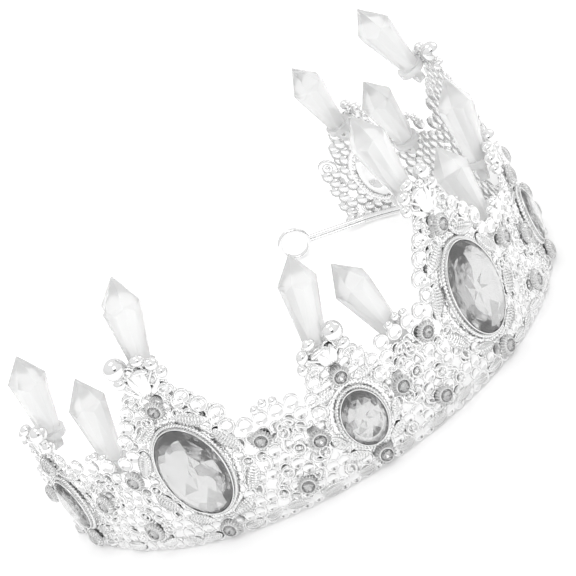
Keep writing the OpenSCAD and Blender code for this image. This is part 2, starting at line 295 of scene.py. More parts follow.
def oval_cord(length, width, grow, wire, ribs=0, depth=0.0, cols=10, height=None):
    """A cord round an oval: a round section carried along the oval grown by grow, and its
    radius ripples by depth as the cosine of ribs times the way round plus twice its side."""
    rows = max(96, ribs * 5) + 1
    turn = np.linspace(0, 2 * np.pi, rows)[:, None]
    a = np.linspace(0, 2 * np.pi, cols, endpoint=False)[None, :]
    x, y = (width / 2 + grow) * np.sin(turn), (length / 2 + grow) * np.cos(turn)
    nx, ny = (length / 2 + grow) * np.sin(turn), (width / 2 + grow) * np.cos(turn)
    size = np.hypot(nx, ny)
    r = wire * (1 + depth * np.cos(ribs * turn + 2 * a))
    rise = r if height is None else r * height / wire
    along = x + nx / size * r * np.cos(a)
    up = y + ny / size * r * np.cos(a)
    return np.stack([along, up, rise * np.sin(a)], -1).reshape(-1, 3), grid_quads(rows, cols)


def oval_lathe(length, width, profile, cols=72):
    """A profile of (share of the oval, out) carried round the oval."""
    share, out = np.asarray(profile, float).T
    turn = np.linspace(0, 2 * np.pi, cols, endpoint=False)[None, :]
    x = width / 2 * share[:, None] * np.cos(turn)
    y = length / 2 * share[:, None] * np.sin(turn)
    points = np.stack([x, y, out[:, None] + 0 * turn], -1)
    return points.reshape(-1, 3), grid_quads(len(share), cols)


def cut_stone(length, width, steps, uneven=0.0):
    """A faceted oval. Each step is a ring of (sides, share of the oval, out, turn by half a
    facet or 0). Rings of one count are joined by triangles that alternate up and down, and a
    ring of half the count takes three triangles from every two sides. Below the girdle the
    corners rise and fall by a sine of their number times uneven, as hand-fed cutting does."""
    rings, faces, zone, start = [], [], [], 0
    for sides, share, out, half in steps:
        a = (np.arange(sides) + 0.5 * half) * 2 * np.pi / sides
        wave = uneven * (len(rings) > GIRDLE) * np.sin(2.4 * np.arange(sides) + len(rings))
        rings.append(np.stack([width / 2 * share * np.sin(a), length / 2 * share * np.cos(a),
                               out + wave], -1))
    for n, (one, two) in enumerate(zip(steps[:-1], steps[1:])):
        count, after = one[0], start + one[0]
        if two[0] == count:
            k = np.arange(count)
            a, b = start + k, start + (k + 1) % count
            c, d = after + k, after + (k + 1) % count
            turned = two[3] and not one[3]
            new = [(a, b, c), (b, d, c)] if turned else [(a, b, d), (a, d, c)]
        else:
            k = np.arange(two[0])
            a, b, c = start + 2 * k, start + 2 * k + 1, start + (2 * k + 2) % count
            d, e = after + k, after + (k + 1) % two[0]
            new = [(a, b, d), (b, c, d), (c, e, d)]
        faces += [np.stack(f, -1) for f in new]
        zone += [np.full(len(f[0]), n) for f in new]
        start = after
    table = [list(range(steps[0][0]))[::-1], list(range(start, start + steps[-1][0]))]
    return np.concatenate(rings), np.concatenate(faces), table, np.concatenate(zone)


# -------------------------------------------------------------------------- making

def merge(mesh, gap=1e-6):
    """Welds coincident points, which closes poles and seams and drops empty faces."""
    work = bmesh.new()
    work.from_mesh(mesh)
    bmesh.ops.remove_doubles(work, verts=work.verts, dist=gap)
    bmesh.ops.dissolve_degenerate(work, edges=work.edges, dist=gap / 10)
    work.to_mesh(mesh)
    work.free()


def put(name, points, faces, material, slot, stands_for, smooth=True, welded=True):
    """Makes one finished piece at the origin, in metres, that rides on the crown."""
    mesh = bpy.data.meshes.new(name)
    faces = faces if isinstance(faces, list) else faces.tolist()
    mesh.from_pydata((points * MM).tolist(), [], faces)
    if welded:
        merge(mesh)
    mesh.materials.append(material)
    if smooth:
        mesh.shade_smooth()
    else:
        mesh.shade_flat()
    piece = bpy.data.objects.new(name, mesh)
    bpy.context.scene.collection.objects.link(piece)
    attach(piece, BODY)
    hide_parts(*stands_for)
    return piece


# ----------------------------------------------------------------------- materials

def srgb(code, alpha=1.0):
    """An sRGB hex colour as linear red, green, blue and alpha."""
    value = [int(code[k:k + 2], 16) / 255 for k in (1, 3, 5)]
    return [v / 12.92 if v <= 0.04045 else ((v + 0.055) / 1.055) ** 2.4 for v in value] + [alpha]


def add_node(tree, kind, links=(), **settings):
    """Adds a node, sets its properties and sockets by name, and links (from socket, input)."""
    node = tree.nodes.new(kind)
    for key, value in settings.items():
        if hasattr(node, key):
            setattr(node, key, value)
        else:
            node.inputs[key.replace("_", " ")].default_value = value
    for source, target in links:
        tree.links.new(source, node.inputs[target])
    return node


def new_material(name):
    """A node material with a Principled shader: (material, tree, shader)."""
    material = bpy.data.materials.new(name)
    material.use_nodes = True
    tree = material.node_tree
    return material, tree, tree.nodes["Principled BSDF"]


def set_shader(shader, **values):
    """Sets a shader's sockets by name."""
    for key, value in values.items():
        shader.inputs[key.replace("_", " ")].default_value = value


def plated(name, colour, rough, spread, grain_mm, dent):
    """Bright plating: metal whose roughness varies a little, over a faintly uneven base. Real
    plating's grain is too fine to show, so grain_mm is as coarse as it needs to be."""
    material, tree, shader = new_material(name)
    set_shader(shader, Base_Color=srgb(colour), Metallic=1.0)
    place = add_node(tree, "ShaderNodeTexCoord")
    noise = add_node(tree, "ShaderNodeTexNoise", [(place.outputs["Object"], "Vector")],
                     Scale=1 / (grain_mm * MM), Detail=3.0, Roughness=0.55)
    span = add_node(tree, "ShaderNodeMapRange", [(noise.outputs["Fac"], "Value")],
                    To_Min=rough - spread, To_Max=rough + spread)
    bump = add_node(tree, "ShaderNodeBump", [(noise.outputs["Fac"], "Height")],
                    Strength=dent, Distance=0.1 * MM)
    tree.links.new(span.outputs["Result"], shader.inputs["Roughness"])
    tree.links.new(bump.outputs["Normal"], shader.inputs["Normal"])
    return material


def silver_stamping():
    # Silver plating over a pierced stamping: nearly white and bright, with soft reflections.
    return plated("silver_plated_stamping", "#F5F5F5", 0.2, 0.06, 0.9, 0.25)


def silver_setting():
    # Silver plating over milled edges: a little greyer and sharper than on the stampings.
    return plated("silver_plated_setting", "#F1F1F1", 0.16, 0.05, 0.7, 0.15)


def silver_fringe():
    # Silver plating over thin toothed cups: the greyest and softest of the four.
    return plated("silver_plated_fringe", "#E2E2E2", 0.24, 0.06, 0.6, 0.2)


def silver_polish():
    # Polished and plated beads and drawn wire: a clean mirror with very faint wear.
    return plated("silver_plated_polish", "#F2F2F2", 0.07, 0.03, 1.6, 0.05)


def cut_glass(name, tint, clear):
    """Cut glass, polished, with foil behind it that sends the light back out. The share that
    isn't clear scatters light inside the stone, which lifts facets that would trap it. That
    share is given, and is no known property of such stones."""
    material, _, shader = new_material(name)
    set_shader(shader, Base_Color=srgb(tint), Roughness=0.0, IOR=1.54,
               Transmission_Weight=clear)
    return material


def foil_back(name, colour):
    # Vacuum-coated foil on the pavilion: a grey mirror seen through the glass.
    return plated(name, colour, 0.09, 0.03, 2.0, 0.02)


def clear_acrylic():
    """Moulded acrylic: milky clear, soft through its depth, with faint flow marks."""
    material, tree, shader = new_material("milky_moulded_acrylic")
    set_shader(shader, Base_Color=srgb("#FEFEFE"), Roughness=0.16, IOR=1.49,
               Transmission_Weight=0.55, Coat_Weight=0.6, Coat_Roughness=0.05)
    place = add_node(tree, "ShaderNodeTexCoord")
    flow = add_node(tree, "ShaderNodeTexNoise", [(place.outputs["Object"], "Vector")],
                    Scale=1 / (5 * MM), Detail=2.0)
    bump = add_node(tree, "ShaderNodeBump", [(flow.outputs["Fac"], "Height")],
                    Strength=0.08, Distance=0.2 * MM)
    tree.links.new(bump.outputs["Normal"], shader.inputs["Normal"])
    return material


def shared(maker):
    """The material that a maker gives, made once."""
    name = "crown_" + maker.__name__
    for material in bpy.data.materials:
        if material.get("crown_finish") == name:
            return material
    material = maker()
    material["crown_finish"] = name
    return material


# ------------------------------------------------------------------------ settings

def length_property(name, text, default_mm):
    return bpy.props.FloatProperty(name=name, description=text, default=default_mm * MM,
                                   min=0.0, unit="LENGTH", subtype="DISTANCE", precision=5)


class CrownStampingSettings(bpy.types.PropertyGroup):
    """Sizes of the pierced panels."""
    leaf_length: length_property("Leaf length", "Length of a leaf round a large gem", 9.4)
    leaf_width: length_property("Leaf width", "Width of a leaf round a large gem", 4.2)
    rib_pitch: length_property("Rib pitch", "Distance between a leaf's ribs", 0.85)


class CrownStoneSettings(bpy.types.PropertyGroup):
    """Sizes of the stones and their settings."""
    big_length: length_property("Large gem height", "Height of a large oval gem", 28.8)
    big_width: length_property("Large gem width", "Width of a large oval gem", 19.2)
    small_length: length_property("Small gem height", "Height of a small oval gem", 17.0)
    small_width: length_property("Small gem width", "Width of a small oval gem", 12.1)
    rope: length_property("Rope", "Half the width of the rope border round a gem", 0.5)
    teeth: bpy.props.IntProperty(name="Cup teeth", description="Teeth round a rhinestone cup",
                                 default=20, min=8, max=30)


class CrownStudioSettings(bpy.types.PropertyGroup):
    """Camera and light."""
    azimuth: bpy.props.FloatProperty(name="Azimuth", description="Camera's angle round the crown",
                                     default=math.radians(-38.35), subtype="ANGLE")
    elevation: bpy.props.FloatProperty(name="Elevation", description="Camera's angle above level",
                                       default=math.radians(23.0), subtype="ANGLE")
    roll: bpy.props.FloatProperty(name="Roll", description="Camera's turn about its own axis",
                                  default=math.radians(-30.9), subtype="ANGLE")
    distance: length_property("Distance", "From the camera to the point it aims at", 675.4)
    aim: bpy.props.FloatVectorProperty(name="Aim", description="Point that the camera aims at",
                                       default=(0.00663, -0.00524, 0.0246), subtype="XYZ",
                                       unit="LENGTH", precision=5)
    lens: bpy.props.FloatProperty(name="Lens", description="Focal length in millimetres",
                                  default=139.9, min=10)
    card: bpy.props.FloatProperty(name="Card", description="Half angle of the dark card",
                                  default=math.radians(15.0), subtype="ANGLE")
    sky: bpy.props.FloatProperty(name="Sky", description="Strength of the studio's dome",
                                 default=0.9, min=0)


def settings():
    """The stampings' settings and the stones' settings."""
    return bpy.context.scene.crown_stamping, bpy.context.scene.crown_stones


def gem_size(i):
    """Height and width of panel i's gem in millimetres."""
    stones = settings()[1]
    if is_tall(i):
        return stones.big_length / MM, stones.big_width / MM
    return stones.small_length / MM, stones.small_width / MM


def gem_middle(i):
    """Height of the middle of panel i's gem."""
    low, high = node_heights(f"oval_gem_{i}")
    return (low + high) / 2


# ---------------------------------------------------------------- stamped filigree

# A panel's outline: up, half the width there. The last point is the top of its peak.
TALL_EDGE = ((0, 17), (35, 17), (38.5, 16.4), (43, 13.4), (47.5, 10.4), (50.5, 7.4), (54, 6.6),
             (59.5, 6.2), (60, 5))
LOW_EDGE = ((0, 12), (25, 12), (29.5, 11.2), (33, 9), (36, 6.6), (38, 6.4), (41.5, 6.2), (42, 5))
# Loops down a shoulder: sideways, up, radius
TALL_LOOPS = ((14.9, 33.6, 2.3), (14.7, 38.4, 2.4), (11.6, 42.8, 2.3), (8.7, 47.0, 2.1),
              (5.6, 50.8, 1.8))
LOW_LOOPS = ((9.9, 24.4, 2.1), (9.6, 28.9, 2.1), (7.0, 32.8, 1.9), (4.8, 36.2, 1.6))
# Where the palmette at the peak starts
TALL_FOOT, LOW_FOOT = 49.6, 34.2
# Raised scrolls and border leaves: sideways, up, out, turn, size, hand. Eyes: sideways, up.
TALL_SCROLLS = ((14.4, 12.0, 0.3, 1.4, 0.8, 1), (14.9, 26.8, 0.3, 1.75, 0.8, -1),
                (8.9, 41.6, 0.3, 2.35, 0.85, 1), (5.4, 46.9, 0.3, 1.0, 0.6, -1))
LOW_SCROLLS = ((9.8, 19.6, 0.3, 1.6, 0.62, -1), (5.6, 33.2, 0.3, 1.2, 0.5, -1))
TALL_EYES = ((14.9, 21.2), (4.9, 42.6))
LOW_EYES = ((10.0, 5.2), (10.2, 14.4))
TALL_BORDER = ((7.0, 2.5, 0.3, 0.06, 0.7, 1), (13.4, 2.9, 0.3, 0.3, 0.62, 1))
LOW_BORDER = ((6.6, 2.4, 0.3, 0.12, 0.66, 1),)
# The hand of each panel's beads: 1 puts the largest towards the wearer's left
BEAD_SIDE = (1, -1, 1, 1, 1, -1, 1)
# Leaves round a gem: sideways, up from the gem's middle, heading in degrees, length in
# millimetres, bend of the blade. They are drawn on one side and mirrored.
TALL_LEAVES = ((7.6, 15.2, -28, 9.6, 1), (13.6, 5.4, -61, 9.8, 1), (13.2, -8.2, -124, 9.2, -1),
               (6.6, -15.6, 205, 8.0, -1))
LOW_LEAVES = ((6.3, 10.6, -6, 6.6, -1), (8.6, -3.6, -118, 6.4, -1), (6.2, -9.2, 202, 6.4, -1))


def half_width(i, up):
    """Half the width of a panel's outline at a height."""
    return np.interp(up, *np.array(TALL_EDGE if is_tall(i) else LOW_EDGE).T)


def roundel_field(edge_at, top, keep, gap=3.5, rise=3.1):
    """Spots of a roundel pattern in rows. A row is as many gaps wide as come nearest to the
    width that edge_at gives there, so its ends reach both edges, and every second row holds
    one roundel fewer. Each spot moves a little by a sine of its row and column, and keep says
    which stay."""
    row = np.arange(int((top - 2) / rise) + 1)[:, None]
    col = np.arange(14)[None, :]
    y = 2.15 + row * rise + 0 * col
    reach = edge_at(y) - 1.75
    count = np.maximum(np.round(2 * reach / gap), 1)
    odd = row % 2
    wobble = np.sin(1.7 * row + 2.3 * col)
    x = (col - (count - odd) / 2) * 2 * reach / count + 0.18 * wobble
    y = y + 0.2 * np.where(row > 0, np.cos(2.9 * row - 1.3 * col), 0)
    size = 0.94 + 0.07 * np.sin(2.1 * col + 0.7 * row)
    inside = (col <= count - odd) & keep(x, y) & (y < top - 1)
    x, y, size = x[inside], y[inside], size[inside]
    one = np.ones_like(x)
    return np.stack([x, y, 0 * one, 0 * one, size, one], -1)


def granules(spots, radius=0.5):
    """A small bead in the gap at the upper right of each roundel."""
    moved = spots + [1.75, 1.05, 0.45, 0, 0, 0]
    moved[:, 4] = 1
    return copies(bead(radius, 5, 6), moved)


def gem_leaves(i):
    """Leaves that lie round a gem's setting."""
    stamping = settings()[0]
    length = stamping.leaf_length / MM
    width = stamping.leaf_width / MM * (1 if is_tall(i) else 1.15)
    shapes = []
    for x, y, heading, size, bend in (TALL_LEAVES if is_tall(i) else LOW_LEAVES):
        ribs = round(length * MM / stamping.rib_pitch * size / length)
        spots = both_hands([(x, y + gem_middle(i), 0.25, math.radians(heading),
                             size / length, 1)])
        shapes.append(copies(leaf(length, width, ribs, 0.11 * bend), spots))
    return join(*shapes)


def lace_edge(i):
    """Loops down both shoulders of a panel, with a bead on the rim where two loops meet."""
    loops = TALL_LOOPS if is_tall(i) else LOW_LOOPS
    place = np.array(loops)
    spots = both_hands([(x, y, 0.2, 0, r / 2, 1) for x, y, r in loops])
    middle = (place[1:] + place[:-1]) / 2
    beads = both_hands([(x + 0.9, y + 0.7, 0.4, 0, 1, 1) for x, y, _ in middle])
    return join(copies(dish(), spots), copies(bead(0.6, 7, 10), beads))


def peak_arms(i, top):
    """The palmette above the top cup: smooth petals in a V of two thin rods, small side petals,
    a bar bead on the inner arm, and hooked scrolls under them."""
    base = TALL_FOOT if is_tall(i) else LOW_FOOT
    side = BEAD_SIDE[i - 1]
    rise = top - base
    t = np.linspace(0, 1, 14)
    arm = rod(np.stack([0.4 + 5.2 * t ** 1.4, base + 0.6 + (rise - 1.6) * t], -1), 0.36, 0.4, 8)
    arm[0][:, 2] += 0.75
    petal = leaf(rise * 0.96, 2.7, 0, 0.06, 0.0, 20)
    fan = [(1.35, base + rise * 0.5, 0.2, math.radians(76), 1, 1),
           (3.7, base + rise * 0.3, 0.15, math.radians(46), 0.72, 1)]
    back = leaf(rise * 1.05, 5.6, 0, 0.0, 0.0, 20)
    bar = rod(np.stack([4.8 * (t - 0.5), 0.5 - 2 * (t - 0.5) ** 2], -1), 0.8, 0.8, 10, 0.3)
    hooks = [(5.9, base + 2.2, 0.45, math.radians(168), 0.9, 1)]
    return join(copies(arm, both_hands([(0, 0, 0, 0, 1, 1)])), copies(petal, both_hands(fan)),
                copies(back, [(0, base + rise * 0.5, 0, math.pi / 2, 1, 1)]),
                copies(bar, [(-1.9 * side, top - 1.1, 0.8, math.radians(6 * side), 1, 1)]),
                copies(scroll(7.0, 3.4, wire=0.42), both_hands(hooks)))


def panel_scrolls(i):
    """Raised scrolls and eyes over a panel's roundels, and the leaves along its foot."""
    scrolls, eyes, leaves = ((TALL_SCROLLS, TALL_EYES, TALL_BORDER) if is_tall(i)
                             else (LOW_SCROLLS, LOW_EYES, LOW_BORDER))
    spots = both_hands([(x, y, 0.35, 0, 0.75, 1) for x, y in eyes])
    return join(copies(scroll(8.5), both_hands(scrolls)), copies(eye(2.0, 0.42), spots),
                copies(leaf(9, 3.9, 11, 0.08), both_hands(leaves)))


def under_plate(i):
    """The ribbed flange that carries a gem's setting."""
    length, width = gem_size(i)
    ribs = 72 if is_tall(i) else 46
    flange = oval_cord(length, width, 2.0, 0.95, ribs, 0.3, 10, 0.42)
    flange[0][:, 1] += gem_middle(i)
    return flange


def gem_panel_shape(i):
    """A whole panel, flat: its roundels stay clear of an oval 0.9 mm wider than the gem."""
    length, width = gem_size(i)
    middle = gem_middle(i)
    top = node_heights(f"gem_panel_{i}")[1]

    def clear_of_gem(x, y):
        return np.hypot(x / (width / 2 + 0.9), (y - middle) / (length / 2 + 0.9)) > 1

    field = roundel_field(lambda up: half_width(i, up), top, clear_of_gem)
    return join(copies(roundel(), field), granules(field), under_plate(i), gem_leaves(i),
                lace_edge(i), panel_scrolls(i), peak_arms(i, top - 1))


# Height of a link's lace, on which its three crest beads stand
LINK_TOP = 34
# Places on a link as shares of its width and height, with a turn and a size, and for the
# leaves a hand
LINK_SCROLLS = ((0.12, 0.85, 3.14, 0.95), (-0.34, 0.57, 1.5, 0.9), (0.3, 0.36, -0.4, 0.9))
LINK_TWISTS = ((-0.04, 0.66, 1.1, 0.95), (0.32, 0.72, 2.3, 0.85), (-0.36, 0.36, 0.5, 0.85),
               (0.1, 0.22, 0.2, 0.9))
LINK_EYES = ((0.04, 0.75), (0.13, 0.56), (-0.42, 0.24), (-0.2, 0.4), (0.42, 0.42))
LINK_LEAVES = ((0.24, 0.085, 0.06, 0.8, 1), (-0.32, 0.09, 2.95, 0.7, -1))


def everywhere(x, y):
    """Keeps every roundel."""
    return np.full(np.shape(x), True)


def link_shape(node, hand):
    """Roundels, scrolls and leaves between two panels, under a row of lace loops; hand
    mirrors them."""
    wide = node_arc(node)
    high = node_heights(node)[1] - 1.5
    field = roundel_field(lambda up: 0 * up + wide / 2, high - 2.5, everywhere)
    loops = 4
    pitch = (wide - 4.6) / (loops - 1)
    lace = [((k - (loops - 1) / 2) * pitch, high - 0.9, 0.2, 0, 1.12, 1) for k in range(loops)]
    c_spots = [(x * wide, y * high, 0.3, a, s, 1) for x, y, a, s in LINK_SCROLLS]
    s_spots = [(x * wide, y * high, 0.3, a, s, 1) for x, y, a, s in LINK_TWISTS]
    eyes = [(x * wide, y * high, 0.35, 0, 0.8, 1) for x, y in LINK_EYES]
    leaves = [(x * wide, y * high, 0.35, a, s, h) for x, y, a, s, h in LINK_LEAVES]
    shape = join(copies(roundel(), field), granules(field), copies(scroll(9.5), c_spots),
                 copies(scroll(9.5, 4.2, True), s_spots), copies(eye(2.0, 0.42), eyes),
                 copies(leaf(9.4, 4.0, 12, 0.08), leaves), copies(dish(), lace))
    return copies(shape, [(0, 0, 0, 0, 1, hand)])


def end_shape(node, hand):
    """The narrow piece beyond an end panel: roundels, two eyes, scrolls and a leaf."""
    high = node_heights(node)[1]
    field = roundel_field(lambda up: 0 * up + 3.3, high - 2, everywhere, 3.1, 3.0)
    shape = join(copies(roundel(), field), granules(field),
                 copies(eye(2.0, 0.44), [(0, high - 3, 0.2, 0, 1.25, 1),
                                         (0.6, 19.5, 0.3, 0, 0.8, 1)]),
                 copies(scroll(8), [(-1.0, 6.2, 0.3, 1.3, 0.6, 1),
                                    (1.0, 17.5, 0.3, 1.5, 0.6, -1)]),
                 copies(leaf(6.2, 3.2, 8, 0.08), [(0.1, 2.2, 0.3, 0.1, 0.9, 1)]))
    return copies(shape, [(0, 0, 0, 0, 1, hand)])


class CROWN_OT_gem_panels(bpy.types.Operator):
    """Builds the seven stamped gem panels"""
    bl_idname = "crown.gem_panels"
    bl_label = "Gem Panels"

    def execute(self, context):
        for i in PANELS:
            node = f"gem_panel_{i}"
            points, quads = gem_panel_shape(i)
            put(f"stamped_{node}", onto_band(points, node_angle(node)), quads,
                shared(silver_stamping), "plated_stamping", [node])
        return {"FINISHED"}


class CROWN_OT_scroll_links(bpy.types.Operator):
    """Builds the six scroll links and the two end pieces"""
    bl_idname = "crown.scroll_links"
    bl_label = "Scroll Links"

    def execute(self, context):
        jobs = [(f"scroll_link_{k}", link_shape, 1 if is_tall(k) else -1) for k in LINKS]
        jobs += [("end_scroll_right", end_shape, -1), ("end_scroll_left", end_shape, 1)]
        for node, shape, hand in jobs:
            points, quads = shape(node, hand)
            put(f"stamped_{node}", onto_band(points, node_angle(node)), quads,
                shared(silver_stamping), "plated_stamping", [node])
        return {"FINISHED"}


# ----------------------------------------------------------- gems and their settings

# The cup's section: share of the gem's oval, out
CUP = ((0, -1.6), (0.5, -1.65), (0.53, -1.95), (0.8, -1.95), (0.86, -1.6), (0.97, -1.5),
       (1.02, -0.8), (1.02, 1.9), (1.015, 2.05), (1.004, 2.0), (1.004, 1.2), (0.94, 0.4),
       (0.7, -1.0), (0, -1.15))
# Rings of a cut stone from the table down: sides, share of the oval, out, half a facet's turn
TALL_CUT = ((16, 0.64, 4.1, 0), (16, 0.88, 3.15, 1), (16, 0.995, 2.0, 0), (16, 0.995, 1.55, 0),
            (16, 0.72, 1.32, 1), (8, 0.42, 0.8, 1), (8, 0.14, 0.45, 0))
LOW_CUT = ((16, 0.5, 3.5, 0), (16, 0.8, 3.0, 1), (16, 0.995, 2.0, 0), (16, 0.995, 1.55, 0),
           (16, 0.72, 1.38, 1), (8, 0.42, 1.0, 1), (8, 0.14, 0.78, 0))


class CROWN_OT_gem_settings(bpy.types.Operator):
    """Builds the cup, bezel and rope border that hold each oval gem"""
    bl_idname = "crown.gem_settings"
    bl_label = "Gem Settings"

    def execute(self, context):
        rope = context.scene.crown_stones.rope / MM
        for i in PANELS:
            length, width = gem_size(i)
            cup = oval_lathe(length, width, CUP)
            bezel = oval_cord(length, width, 0.16, 0.2, cols=10, height=0.3)
            bezel[0][:, 2] += 1.85
            ribs = 84 if is_tall(i) else 54
            cord = oval_cord(length, width, 0.3 + rope, rope, ribs, 0.4, 12)
            cord[0][:, 2] += 0.85
            count = 26 if is_tall(i) else 16
            a = np.arange(count) * 2 * np.pi / count
            # Pearls round the inside of the cup, behind the gem
            one = np.ones_like(a)
            pearls = np.stack([width * 0.33 * np.sin(a), length * 0.33 * np.cos(a), -1.5 * one,
                               0 * one, one, one], -1)
            points, quads = join(cup, copies(bead(0.42, 6, 8), pearls), bezel, cord)
            node = f"gem_setting_{i}"
            put(f"roped_{node}", onto_plane(points, node_angle(node), gem_middle(i)), quads,
                shared(silver_setting), "settings", [node])
        return {"FINISHED"}


def gem_glass():
    return cut_glass("cut_glass_crystal", "#FAFAFA", 0.9)


def gem_foil():
    return foil_back("silver_foil_backing", "#DFDFDF")


def stone_glass():
    return cut_glass("cut_glass_rhinestone", "#F2F2F2", 0.92)


def stone_foil():
    return foil_back("grey_foil_backing", "#D6D6D6")


def put_stone(name, places, slot, stands_for, glass, foil):
    """One object of cut stones from pairs of a function that places one and its cut. Facets
    below the girdle carry the foil."""
    points, faces, zones, start = [], [], [], 0
    for spot, (rings, triangles, tables, zone) in places:
        points.append(spot(rings))
        faces += (triangles + start).tolist()
        zones += (zone >= GIRDLE).tolist()
        faces += [[n + start for n in table] for table in tables]
        zones += [False, True]
        start += len(rings)
    piece = put(name, np.concatenate(points), faces, shared(glass), slot, stands_for,
                smooth=False, welded=False)
    piece.data.materials.append(shared(foil))
    piece.data.polygons.foreach_set("material_index", np.array(zones, np.int32))
    return piece


class CROWN_OT_oval_gems(bpy.types.Operator):
    """Cuts the seven oval gems"""
    bl_idname = "crown.oval_gems"
    bl_label = "Oval Gems"

    def execute(self, context):
        for i in PANELS:
            length, width = gem_size(i)
            node = f"oval_gem_{i}"
            angle, up = node_angle(node), gem_middle(i)
            steps, uneven = (TALL_CUT, 0.16) if is_tall(i) else (LOW_CUT, 0.1)
            cut = cut_stone(length, width, steps, uneven)
            put_stone(f"cut_{node}", [(lambda p, a=angle, z=up: onto_plane(p, a, z), cut)],
                      "oval_glass", [node], gem_glass, gem_foil)
        return {"FINISHED"}


# --------------------------------------------------------------------- rhinestones

# A cup's section: radius, out, and how deep and how high its teeth are pressed there
FRINGE = ((0, 0.05, 0, 0), (2.3, 0.05, 0, 0), (3.0, 0.45, 0.08, 0), (3.16, 0.85, 0.14, 0.22),
          (2.75, 1.35, 0.08, 0.42), (2.25, 1.75, 0, 0.3), (1.98, 2.25, 0, 0.08),
          (1.8, 2.1, 0, 0), (1.78, 1.3, 0, 0), (1.1, 0.5, 0, 0), (0, 0.45, 0, 0))
STONE_D = 3.56
CHATON = ((8, 0.5, 2.45, 0), (8, 0.8, 2.2, 1), (8, 0.99, 1.8, 0), (8, 0.99, 1.55, 0),
          (8, 0.6, 0.95, 1), (8, 0.1, 0.6, 0))


def fringed_cup(teeth):
    """A round cup whose sloping collar is pressed into radial teeth: the collar's radius and
    height ripple as the cosine of teeth times the way round."""
    profile = np.array(FRINGE)
    turn = np.linspace(0, 2 * np.pi, teeth * 6, endpoint=False)[None, :]
    depth, lift = profile[:, 2:3], profile[:, 3:4]
    wave = np.cos(teeth * turn)
    return lathe(profile[:, :2], teeth * 6, depth * (wave - 1), lift * (wave - 0.4))


class CROWN_OT_rhinestones(bpy.types.Operator):
    """Builds the fringed cups and the round rhinestones in them"""
    bl_idname = "crown.rhinestones"
    bl_label = "Rhinestones"

    def execute(self, context):
        cup = fringed_cup(context.scene.crown_stones.teeth)
        stone = cut_stone(STONE_D, STONE_D, CHATON)
        for where in ("panel", "link"):
            spots = list(island_spots(f"{where}_rhinestones"))
            cups = [(onto_plane(cup[0], a, z, OUTER_R), cup[1]) for a, z in spots]
            put(f"fringed_{where}_cups", *join(*cups), shared(silver_fringe), "settings",
                [f"{where}_rhinestone_cups"])
            cut = [(lambda p, a=a, z=z: onto_plane(p, a, z, OUTER_R), stone) for a, z in spots]
            put_stone(f"cut_{where}_rhinestones", cut, "rhinestone_glass",
                      [f"{where}_rhinestones"], stone_glass, stone_foil)
        return {"FINISHED"}


# --------------------------------------------------------------- beads, drops, wire

BIG_BEAD_R = (2.6, 3.2, 3.0, 2.4, 2.6, 3.0, 2.6)
# A peak's beads: sideways, up from the largest bead, radius, heading in degrees, stretch.
# The largest stands just above the peak, with its own radius on each panel.
BIG_BEAD_X, BIG_BEAD_STRETCH, BIG_BEAD_LIFT = 4.5, 1.04, 0.6
PEAK_FAN = ((5.4, -4.6, 1.9, 10, 1.15), (-2.8, 0.4, 1.8, 15, 1.25), (-6.0, -1.8, 1.9, 45, 1.25),
            (-7.6, -5.0, 1.7, 80, 1.15))
# The three crest beads of a link: radius, and how far each stands above the link's lace
CREST_R = 1.3
CREST_LIFT = (0.1, 0.9, 0.1)
# How far the drops' edges are rounded, and the least turn in radians that is an edge
DROP_ROUND, DROP_EDGE = 0.12, 0.2


def stretched_bead(radius, stretch):
    """A bead drawn out along and flattened across by the square root of the stretch."""
    points, quads = bead(radius, 17, 28)
    return points * [math.sqrt(stretch), 1 / math.sqrt(stretch), 1], quads


class CROWN_OT_beads(bpy.types.Operator):
    """Builds the polished beads on the peaks and on the crests of the links"""
    bl_idname = "crown.beads"
    bl_label = "Beads"

    def execute(self, context):
        for i in PANELS:
            side, big = BEAD_SIDE[i - 1], BIG_BEAD_R[i - 1]
            node = f"peak_beads_{i}"
            up = (TALL_EDGE if is_tall(i) else LOW_EDGE)[-1][0] + BIG_BEAD_LIFT
            fan = ((BIG_BEAD_X, 0, big, 0, BIG_BEAD_STRETCH), *PEAK_FAN)
            shape = join(*[
                copies(stretched_bead(r, stretch),
                       [(side * x, up + y, 0, side * math.radians(turn), 1, 1)])
                for x, y, r, turn, stretch in fan])
            put(f"polished_{node}", onto_plane(shape[0], node_angle(f"gem_panel_{i}")), shape[1],
                shared(silver_polish), "polished_beads", [node])
        crests = []
        spots = [((n - 1) * CREST_R * 2.1, LINK_TOP + lift, 0, 0, 1, 1)
                 for n, lift in enumerate(CREST_LIFT)]
        points, quads = copies(bead(CREST_R, 13, 20), spots)
        for k in LINKS:
            crests.append((onto_plane(points, node_angle(f"scroll_link_{k}")), quads))
        put("polished_crest_beads", *join(*crests), shared(silver_polish), "polished_beads",
            ["crest_beads"])
        return {"FINISHED"}


